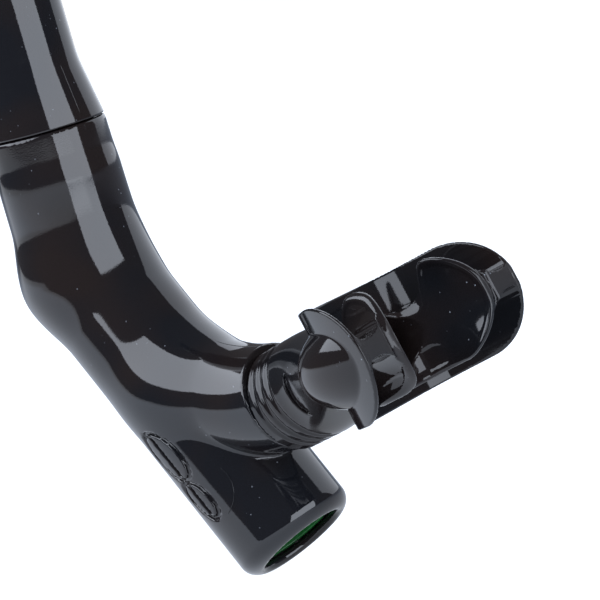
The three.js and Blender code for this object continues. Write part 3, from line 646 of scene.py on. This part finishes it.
# ---------- mouthpiece ----------
def mouthpiece_field(sizes):
    """Distance to the mouthpiece in the neck's frame: a ribbed sleeve that widens into an oval,
    a lip shield along an arch, dished inner walls on a tighter arch, and bite webs between them."""
    shield_t, half_h = sizes.shield_thickness / MM, sizes.shield_height / MM
    lobe_t, web_t = sizes.lobe_thickness / MM, sizes.bite_thickness / MM
    sleeve_r = sizes.sleeve_radius / MM
    front, wrap, half_w, _ = SHIELD_ARCH
    tip = front + wrap

    def plate(offset, outline, thickness, bead):
        """A thin wall with rounded edges, and a bead of that radius along its rim."""
        wall = rounded_corner(np.abs(offset) - thickness / 2, outline, thickness * 0.45)
        if not bead:
            return wall
        return smooth_union(wall, np.hypot(offset, outline + bead) - bead, 0.7)

    def field(a, y, n):
        flat = np.broadcast_arrays(a, y)
        offset, arc, total = nearest_on_arch(*flat, SHIELD_ARCH)
        end_length = np.where(n > 0, SHIELD_END_UPPER, SHIELD_END_LOWER)
        outline = ellipse_gap(np.maximum(arc - (total - end_length), 0), n, end_length, half_h)
        shield = plate(offset - shield_t / 2, outline, shield_t, 0)

        # inner walls: an oval on each side, joined round the air hole by a wall with a low top
        lobe_offset, lobe_arc, lobe_total = nearest_on_arch(*flat, LOBE_ARCH)
        growth = np.where(n < 0, DISH_LOWER, DISH_UPPER) * ease((lobe_arc - 16) / 14)
        dish = (DISH + growth) * (n / LOBE_HALF_H) ** 2
        past_end = np.maximum(lobe_arc - (lobe_total - LOBE_END), 0)
        end = ellipse_gap(past_end, n - MIDDLE_N, LOBE_END, LOBE_HALF_H)
        before_start = np.maximum(lobe_total - LOBE_START_FROM - lobe_arc, 0)
        start = ellipse_gap(before_start, n - MIDDLE_N, LOBE_START, LOBE_HALF_H)
        front_wall = np.abs(n + 4.4) - 7.4
        lobe_outline = np.maximum(end, smooth_union(start, front_wall, 4.0))
        lobe = plate((lobe_offset - dish) * 0.95 - lobe_t / 2, lobe_outline, lobe_t, 0.8)

        # the web's half thickness grows with quarter circles towards both walls
        shield_fillet, lobe_fillet = 2.0, 5.5
        from_shield = np.clip(offset - shield_t, 0, shield_fillet)
        from_lobe = np.clip(dish - lobe_offset, 0, lobe_fillet)
        half = web_t + shield_fillet - np.sqrt(shield_fillet**2 - (shield_fillet - from_shield) ** 2)
        half = half + lobe_fillet - np.sqrt(lobe_fillet**2 - (lobe_fillet - from_lobe) ** 2)
        half = np.minimum(half, 4.2 + 5.0 * ease((arc - 12) / 20))
        between = np.maximum(shield_t / 2 - offset, lobe_offset - dish - lobe_t / 2)
        web = np.maximum(np.abs(n - MIDDLE_N) - half, between)
        web = np.maximum(web, outline + 0.3)
        web = np.maximum(web, end + 0.3 - 1.2 * np.maximum(dish - lobe_offset - 1.0, 0))
        inner = smooth_union(lobe, web, np.clip(2.6 - 0.12 * (arc - 12), 0.5, 2.6))
        inner = smooth_common(inner, a - (tip - 0.1), 0.3)
        # a low collar stands round the air hole on the inside of the front wall
        hole = ellipse_gap(y, n - AIR_N, AIR_HALF_W, AIR_HALF_H)
        collar = smooth_common(hole - COLLAR_T, offset - shield_t - COLLAR_RISE, 0.5)
        inner = smooth_union(inner, np.maximum(collar, shield_t / 2 - offset), 1.0)
        inner = smooth_union(shield, inner, 0.6)

        # sleeve and flare, and the cheeks as half ellipsoids laid along the outside of the shield
        spread = ease((a - FLARE_START) / FLARE_LENGTH)
        centre = AIR_N * (1 - spread)
        flare = ellipse_gap(y, n - centre, sleeve_r + (FLARE_HALF_W - sleeve_r) * spread,
                            sleeve_r + (FLARE_HALF_H - sleeve_r) * spread)
        middle_a, middle_y, middle_n = CHEEK_CENTRE
        cheek = ball(a - middle_a, np.abs(y) - middle_y, n - middle_n, *CHEEK_RADII)
        outer = smooth_union(flare, cheek, 1.5)
        outer = smooth_common(outer, offset - shield_t / 2, 0.3)
        outer = np.maximum(outer, outline + 0.1)
        outer = ribs(outer, a, n)
        outer = np.maximum(outer, GAP - a)
        # a shallow oval recess on each side of the sleeve, just behind the ribs
        recess = np.maximum(ellipse_gap(a - 16.0 + 0.16 * n, n - AIR_N, 1.4, 5.2), 9 - np.abs(y))
        outer = smooth_cut(outer, np.maximum(recess, -0.8 - outer), 0.5)
        body = smooth_union(inner, outer, 0.4)

        bore = np.maximum(np.hypot(y, n) - SLEEVE_BORE_R, a - SPIGOT_LENGTH - 1)
        duct = np.maximum(hole, SPIGOT_LENGTH - a)
        body = smooth_cut(smooth_cut(body, duct, 0.4), bore, 0.4)
        return np.maximum(body, np.maximum(a - tip, np.abs(y) - half_w - 0.1))

    def ribs(outer, a, n):
        """Three low bands with narrow grooves between them; their planes lean a little more each time."""
        for place, lean in RIB_GROOVES:
            groove = np.hypot((a - place + lean * n) / 0.75, (outer - 0.1) / 0.55) - 1
            outer = smooth_cut(outer, groove * 0.6, 0.35)
        return outer

    def ball(a, y, n, ra, ry, rn):
        """First-order distance to an ellipsoid."""
        scaled = np.sqrt((a / ra) ** 2 + (y / ry) ** 2 + (n / rn) ** 2) + 1e-9
        slope = np.sqrt((a / ra**2) ** 2 + (y / ry**2) ** 2 + (n / rn**2) ** 2) + 1e-9
        return scaled * (scaled - 1) / slope

    return field


class SNORKEL_OT_lower_body(bpy.types.Operator):
    """Lower body: elbow, purge barrel and mouthpiece spigot in one moulding"""

    bl_idname = "snorkel.lower_body"
    bl_label = "Lower body"

    def execute(self, context):
        low, high = box_mm("lower_body")
        step = 0.7
        field = lower_body_field(context.scene.snorkel_sizes)
        points, faces, normals = field_surface(field, low - 1, high + 1, step)
        new_object("lower_body_skin", points, faces, MATERIALS["polished_pvc"], "snorkel", ["lower_body"],
                   normals)
        return {"FINISHED"}


class SNORKEL_OT_mouthpiece(bpy.types.Operator):
    """Mouthpiece: sleeve, lip shield, inner walls and bite webs"""

    bl_idname = "snorkel.mouthpiece"
    bl_label = "Mouthpiece"

    def execute(self, context):
        step = 0.42
        points, faces, normals = field_surface(mouthpiece_field(context.scene.snorkel_sizes),
                                               (-1, -27, -15), (58, 27, 15), step)
        outward = from_neck(normals) - from_neck(np.zeros((1, 3)))
        skin = new_object("mouthpiece_skin", from_neck(points), faces, MATERIALS["moulded_silicone"],
                          "mouthpiece", ["mouthpiece"], outward)
        # the flat ends of the bite webs come matt from the mould
        tip = SHIELD_ARCH[0] + SHIELD_ARCH[1]
        matt = (normals[:, 0] > 0.93) & (points[:, 0] > tip - 0.8)
        skin.data.attributes.new("matt", "FLOAT", "POINT").data.foreach_set("value", matt.astype(np.float32))
        return {"FINISHED"}


class SNORKEL_OT_tube(bpy.types.Operator):
    """Straight tube with its flared foot and spigot"""

    bl_idname = "snorkel.tube"
    bl_label = "Tube"

    def execute(self, context):
        sizes = context.scene.snorkel_sizes
        low, high = box_mm("tube")
        outer, bore, joint = sizes.tube_radius / MM, sizes.tube_bore / MM, sizes.joint_radius / MM
        points, faces = turned([
            (bore, low[2], 0.4), (TUBE_SPIGOT_R, low[2], 0.6), (TUBE_SPIGOT_R, SEAM_Z + GAP, 0),
            (joint, SEAM_Z + GAP, 0.5), (outer, SEAM_Z + FOOT_HEIGHT, 2.5), (outer, high[2], 0.4),
            (bore, high[2], 0.4)], 128)
        new_object("tube_wall", points, faces, MATERIALS["polished_pvc"], "snorkel", ["tube"])
        return {"FINISHED"}


class SNORKEL_OT_parting_lines(bpy.types.Operator):
    """Fine moulding lines on the tube and the lower body"""

    bl_idname = "snorkel.parting_lines"
    bl_label = "Parting lines"

    def execute(self, context):
        sizes = context.scene.snorkel_sizes
        t = np.linspace(0.0, 0.97, 120)
        tangent = bezier(t, 1)
        tangent /= np.linalg.norm(tangent, axis=1)[:, None]
        radius = elbow_radius(t, sizes)
        edge = bezier(t) + np.stack([-tangent[:, 1], tangent[:, 0]], 1) * radius[:, None]
        top = np.array([[sizes.joint_radius / MM, SEAM_Z - 0.6]])
        edge = np.vstack([top, edge])
        line = np.stack([edge[:, 0], 0 * edge[:, 0], edge[:, 1]], 1)
        points, faces = swept(line, 0.12)
        skin = MATERIALS["polished_pvc"]
        new_object("lower_body_parting_line", points, faces, skin, "snorkel", [])
        # round trace of an ejector beside the relief
        turn = np.linspace(-0.3, 1.5, 40)
        along = TRACE_ALONG + TRACE_R * np.sin(turn)
        way = (TRACE_WAY + TRACE_R * np.cos(turn)) / TRACE_BARREL_R
        ring = [along, -TRACE_BARREL_R * np.sin(way), -TRACE_BARREL_R * np.cos(way)]
        line = from_barrel(np.stack(ring, 1))
        points, faces = swept(line, 0.1)
        new_object("ejector_trace", points, faces, skin, "snorkel", [])
        z = np.linspace(SEAM_Z + FOOT_HEIGHT, SEAM_Z + GAP + 2, 20)
        flare = (sizes.joint_radius - sizes.tube_radius) / MM
        r = sizes.tube_radius / MM + flare * (SEAM_Z + FOOT_HEIGHT - z) / (FOOT_HEIGHT - GAP)
        points, faces = swept(np.stack([r, 0 * r, z], 1), 0.12)
        new_object("tube_parting_line", points, faces, skin, "snorkel", [])
        return {"FINISHED"}


class SNORKEL_OT_purge_valve(bpy.types.Operator):
    """Purge valve: green housing with a spoked seat and its silicone flap"""

    bl_idname = "snorkel.purge_valve"
    bl_label = "Purge valve"

    def execute(self, context):
        bottom = BARREL_LENGTH - LIP_DEPTH - GAP
        top = bottom - HOUSING_LENGTH
        seat = top + SEAT_T

        def housing(x, y, z):
            r = np.hypot(x, y)
            wall = np.maximum(slab(r, HOUSING_BORE_R, HOUSING_R), slab(z, top, bottom))
            layer = slab(z, top, seat)
            ledge = np.maximum(slab(r, LEDGE_FROM, LEDGE_TO), layer)
            cross = np.minimum(np.abs(x), np.abs(y)) - SPOKE_HALF_W
            spoke = np.maximum(cross, np.maximum(layer, r - SPOKE_R))
            hub = np.maximum(r - HUB_R, layer)
            carrier = smooth_union(smooth_union(spoke, hub, 0.8), ledge, 0.8)
            return smooth_cut(smooth_union(wall, carrier, 0.6), r - HUB_BORE_R, 0.3)

        step = 0.45
        points, faces, normals = field_surface(housing, (-13, -13, top - 1), (13, 13, bottom + 1), step)
        outward = from_valve(normals) - from_valve(np.zeros((1, 3)))
        new_object("purge_housing_green", from_valve(points), faces, MATERIALS["green_polypropylene"],
                   "snorkel", ["purge_housing"], outward)
        knob = top - GAP - VALVE_LIFT
        flap = seat + GAP
        profile = [(AXIS_R, knob - KNOB_HEIGHT, 0), (1.5, knob - 1.7, 0.5), (KNOB_R, knob, 0.4),
                   (STEM_R, knob, 0.1), (STEM_R, flap, 0.2), (FLAP_R, flap, 0.2), (FLAP_R, flap + 0.5, 0.2),
                   (8.5, flap + 0.9, 0.4), (3, flap + 1.4, 1), (AXIS_R, flap + 1.8, 0)]
        points, faces = turned(profile, 72, from_valve)
        new_object("purge_flap", points, faces, MATERIALS["milky_silicone"], "purge_valve", ["purge_valve"])
        return {"FINISHED"}


class SNORKEL_OT_keeper(bpy.types.Operator):
    """Keeper: collar with a stud, and the strap clip that turns on it"""

    bl_idname = "snorkel.keeper"
    bl_label = "Keeper and strap clip"

    def execute(self, context):
        sizes = context.scene.snorkel_sizes
        bore = sizes.tube_radius / MM + GAP
        step = 0.42

        def collar(x, y, z):
            r, around = np.hypot(x, y), np.hypot(y, z)
            ring = rounded_corner(slab(r, bore, COLLAR_R), np.abs(z) - COLLAR_HALF_H, 0.6)
            # a shallow grip groove near each end
            grip = slab(np.abs(z), 7.8, 8.8)
            ring = smooth_cut(ring, np.maximum(grip, COLLAR_R - 0.5 - r), 0.3)
            boss = rounded_corner(around - BOSS_R, slab(x, 11.7, 17.3), 0.5)
            stud = np.maximum(around - STUD_R, slab(x, 14.6, 21.4))
            head = rounded_corner(around - STUD_HEAD_R, slab(x, 19.8, 21.4), 0.35)
            solid = smooth_union(smooth_union(ring, boss, 1.6), np.minimum(stud, head), 0.3)
            return smooth_cut(solid, r - bore, 0.3)

        low, high = box_mm("keeper_collar")
        points, faces, normals = field_surface(collar, low - 1, high + 1, step)
        new_object("keeper_collar_ring", points, faces, MATERIALS["grained_abs"], "keeper",
                   ["keeper_collar"], normals)

        def clip(x, y, z):
            around = np.hypot(y, z)
            corner = rounded_corner(np.abs(y) - CLIP_HALF_W, np.abs(z) - CLIP_HALF_H, 3)
            block = rounded_corner(corner, slab(x, CLIP_FROM, CLIP_TO), 0.9)
            way = rounded_corner(slab(x, STRAP_FROM, STRAP_TO), np.abs(z) - STRAP_HALF_H, 0.8)
            # hole for the stud and recess for its head, each with clearance
            hole = np.maximum(around - STUD_R - GAP, x - 23)
            recess = np.maximum(around - STUD_HEAD_R - GAP, slab(x, 19.5, 23))
            tooth = np.abs(np.mod(z, TOOTH_PITCH) - TOOTH_PITCH / 2) - 0.5
            teeth = np.maximum(tooth, np.maximum(CLIP_TO - 0.4 - x, np.abs(z) - 11))
            return smooth_cut(smooth_cut(block, np.minimum(way, np.minimum(hole, recess)), 0.5), teeth, 0.3)

        low, high = box_mm("strap_clip")
        points, faces, normals = field_surface(clip, low - 1, high + 1, step)
        new_object("strap_clip_loop", points, faces, MATERIALS["grained_abs"], "strap_clip", ["strap_clip"],
                   normals)
        return {"FINISHED"}


class SNORKEL_OT_safety_band(bpy.types.Operator):
    """High-visibility band round the upper tube"""

    bl_idname = "snorkel.safety_band"
    bl_label = "Safety band"

    def execute(self, context):
        low, high = box_mm("safety_band")
        outer = high[0]
        inner = context.scene.snorkel_sizes.tube_radius / MM + GAP
        points, faces = turned([(inner, low[2], 0.05), (outer, low[2], 0.25), (outer, high[2], 0.25),
                                (inner, high[2], 0.05)], 96)
        new_object("safety_band_wrap", points, faces, MATERIALS["bright_vinyl_tape"], "snorkel",
                   ["safety_band"])
        return {"FINISHED"}


class SNORKEL_OT_splash_guard(bpy.types.Operator):
    """Splash guard: base cup, vented cap and baffle"""

    bl_idname = "snorkel.splash_guard"
    bl_label = "Splash guard"

    def execute(self, context):
        sizes = context.scene.snorkel_sizes
        tube_r, bore = sizes.tube_radius / MM + GAP, sizes.tube_bore / MM
        low, high = (v[2] for v in box_mm("splash_guard_base"))
        outer = box_mm("splash_guard_base")[1][0]
        points, faces = turned([
            (tube_r, low, 0.2), (CUP_SLEEVE_R, low, 0.8), (CUP_WAIST_R, high - 8, 2), (outer, high - 4, 1.5),
            (outer, high, 0.4), (CUP_RIM_R, high, 0.3), (CUP_RIM_R, high - 2, 0.3), (bore, high - 2, 0.5),
            (bore, CUP_STOP_Z, 0.1), (tube_r, CUP_STOP_Z, 0.1)], 96)
        new_object("splash_guard_cup", points, faces, MATERIALS["grained_abs"], "snorkel",
                   ["splash_guard_base"])

        cap_low, cap_top = (v[2] for v in box_mm("splash_guard_cap"))

        def cap(x, y, z):
            r = np.hypot(x, y)
            skirt = r - outer
            dome = ellipse_gap(r, z - (cap_top - DOME_HEIGHT), outer, DOME_HEIGHT)
            shell = np.where(z > cap_top - DOME_HEIGHT, dome, skirt)
            shell = smooth_common(slab(shell, -GUARD_WALL, 0.0), cap_low - z, 0.4)
            side = np.minimum(np.abs(x), np.abs(y))
            window = rounded_corner(side - WINDOW_HALF_W, slab(z, WINDOW_FROM, WINDOW_TO), 2.0)
            return smooth_cut(shell, np.maximum(window, 11 - r), 0.5)

        step = 0.5
        points, faces, normals = field_surface(cap, (-19, -19, cap_low - 1), (19, 19, cap_top + 1), step)
        new_object("splash_guard_dome", points, faces, MATERIALS["grained_abs"], "snorkel",
                   ["splash_guard_cap"], normals)

        bottom, top = (v[2] for v in box_mm("splash_guard_baffle"))
        points, faces = turned([
            (AXIS_R, bottom + 2, 0), (BAFFLE_R, bottom, 0.4), (BAFFLE_R, bottom + 1.5, 0.4),
            (STALK_R, bottom + 3.2, 1), (STALK_R, top, 0.4), (AXIS_R, top, 0)], 72)
        new_object("splash_guard_plate", points, faces, MATERIALS["grained_abs"], "snorkel",
                   ["splash_guard_baffle"])
        return {"FINISHED"}


# ---------- studio ----------
CAMERA_AZIMUTH = math.radians(46.57)
CAMERA_ELEVATION = math.radians(10.77)
CAMERA_ROLL = math.radians(15.45)
CAMERA_TARGET = np.array([71.8, 0.0, -148.7])
CAMERA_DISTANCE = 442.2
CAMERA_LENS = 117.31
FLOOR_HALF = 3000.0
LIGHT_TARGET = Vector((0.06, 0, -0.15))
LIGHT_COLOUR = (0.83, 0.89, 1.0)  # linear, slightly cool
# name, azimuth, elevation, distance, width, height, radiance
SOFTBOXES = (
    ("key_softbox", -34, 46, 1.2, 1.6, 1.15, 4.6),
    ("side_softbox", 85, 12.5, 1.2, 1.2, 0.9, 4.5),
    ("back_panel", 190, 22, 1.8, 2.6, 1.6, 1.4),
)


class SNORKEL_OT_stage(bpy.types.Operator):
    """Camera, lights and a plain pale floor"""

    bl_idname = "snorkel.stage"
    bl_label = "Stage"

    def execute(self, context):
        scene = context.scene
        a, e, r = CAMERA_AZIMUTH, CAMERA_ELEVATION, CAMERA_ROLL
        look = np.array([-math.sin(a) * math.cos(e), math.cos(a) * math.cos(e), -math.sin(e)])
        level = np.array([math.cos(a), math.sin(a), 0.0])
        up = np.cross(level, look)
        right = level * math.cos(r) - up * math.sin(r)
        above = level * math.sin(r) + up * math.cos(r)
        camera = bpy.data.objects.new("studio_camera", bpy.data.cameras.new("studio_camera"))
        scene.collection.objects.link(camera)
        camera.data.lens = CAMERA_LENS
        camera.data.sensor_width = 36
        camera.data.clip_start, camera.data.clip_end = 0.01, 50
        place = Matrix.Translation(Vector((CAMERA_TARGET - look * CAMERA_DISTANCE) * MM))
        camera.matrix_world = place @ Matrix(np.stack([right, above, -look], 1).tolist()).to_4x4()
        scene.camera = camera
        scene.view_settings.view_transform = "Standard"

        # the floor is a back-lit sheet of opal acrylic, so nothing casts a hard shadow on it
        floor_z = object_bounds()[0].z / MM - 0.5
        size = FLOOR_HALF
        points = np.array([(-size, -size, floor_z), (size, -size, floor_z),
                           (size, size, floor_z), (-size, size, floor_z)])
        mesh = bpy.data.meshes.new("studio_floor")
        mesh.from_pydata((points * MM).tolist(), [], [(0, 1, 2, 3)])
        floor = bpy.data.objects.new("studio_floor", mesh)
        scene.collection.objects.link(floor)
        opal, tree, shader, place = new_material("opal_acrylic")
        shader.inputs["Base Color"].default_value = (*scene.snorkel_colours.floor_sheet, 1)
        shader.inputs["Roughness"].default_value = 0.9
        shader.inputs["Specular IOR Level"].default_value = 0.0
        shader.inputs["Emission Color"].default_value = (*linear("#f2f7ff"), 1)
        # to the camera it is plain white; what the gloss mirrors fades towards the back
        depth = add(tree, "ShaderNodeSeparateXYZ", Vector=place).outputs["Y"]
        fade = add(tree, "ShaderNodeMapRange", {"clamp": True}, i0=depth, i1=-60, i2=160,
                   i3=0.9, i4=0.05).outputs[0]
        seen = add(tree, "ShaderNodeLightPath").outputs["Is Camera Ray"]
        glow = add(tree, "ShaderNodeMix", i0=seen, i2=fade, i3=1.1).outputs[0]
        tree.links.new(glow, shader.inputs["Emission Strength"])
        mesh.materials.append(opal)
        floor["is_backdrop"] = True

        world = bpy.data.worlds.new("studio_world")
        scene.world = world
        world.use_nodes = True
        tree = world.node_tree
        plain = tree.nodes["Background"]
        plain.inputs["Color"].default_value = (0.1, 0.1, 0.11, 1)
        white = add(tree, "ShaderNodeBackground", Color=(1, 1, 1, 1), Strength=1.05)
        seen = add(tree, "ShaderNodeLightPath").outputs["Is Camera Ray"]
        mix = add(tree, "ShaderNodeMixShader", i0=seen, i1=plain.outputs[0], i2=white.outputs[0])
        tree.links.new(mix.outputs[0], tree.nodes["World Output"].inputs["Surface"])

        def softbox(name, azimuth, elevation, distance, width, height, radiance):
            """A rectangular soft light that faces the object's middle."""
            az, el = math.radians(azimuth), math.radians(elevation)
            out = Vector((math.sin(az) * math.cos(el), -math.cos(az) * math.cos(el), math.sin(el)))
            light = bpy.data.objects.new(name, bpy.data.lights.new(name, "AREA"))
            scene.collection.objects.link(light)
            light.data.shape = "RECTANGLE"
            light.data.size, light.data.size_y = width, height
            light.data.energy = radiance * math.pi * width * height
            light.data.color = LIGHT_COLOUR
            light.location = LIGHT_TARGET + out * distance
            light.rotation_mode = "QUATERNION"
            light.rotation_quaternion = (-out).to_track_quat("-Z", "Y")
            light.visible_camera = False

        for box in SOFTBOXES:
            softbox(*box)
        return {"FINISHED"}


class SNORKEL_PT_panel(bpy.types.Panel):
    """Lists the snorkel's pieces, sizes and colours"""

    bl_idname = "SNORKEL_PT_panel"
    bl_label = "Snorkel"
    bl_space_type = "VIEW_3D"
    bl_region_type = "UI"
    bl_category = "Snorkel"

    def draw(self, context):
        for operator in OPERATORS:
            self.layout.operator(operator.bl_idname)
        for group in (context.scene.snorkel_sizes, context.scene.snorkel_colours):
            for name in group.__annotations__:
                self.layout.prop(group, name)


OPERATORS = (
    SNORKEL_OT_lower_body,
    SNORKEL_OT_mouthpiece,
    SNORKEL_OT_tube,
    SNORKEL_OT_parting_lines,
    SNORKEL_OT_purge_valve,
    SNORKEL_OT_keeper,
    SNORKEL_OT_safety_band,
    SNORKEL_OT_splash_guard,
    SNORKEL_OT_stage,
)
CLASSES = (SnorkelSizes, SnorkelColours, *OPERATORS, SNORKEL_PT_panel)


def register():
    for cls in CLASSES:
        bpy.utils.register_class(cls)
    bpy.types.Scene.snorkel_sizes = PointerProperty(type=SnorkelSizes)
    bpy.types.Scene.snorkel_colours = PointerProperty(type=SnorkelColours)


def unregister():
    del bpy.types.Scene.snorkel_colours
    del bpy.types.Scene.snorkel_sizes
    for cls in reversed(CLASSES):
        bpy.utils.unregister_class(cls)


def main():
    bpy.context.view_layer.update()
    register()
    make_materials(bpy.context.scene.snorkel_colours)
    for operator in OPERATORS:
        family, name = operator.bl_idname.split(".")
        getattr(getattr(bpy.ops, family), name)()


if __name__ == "__main__":
    main()
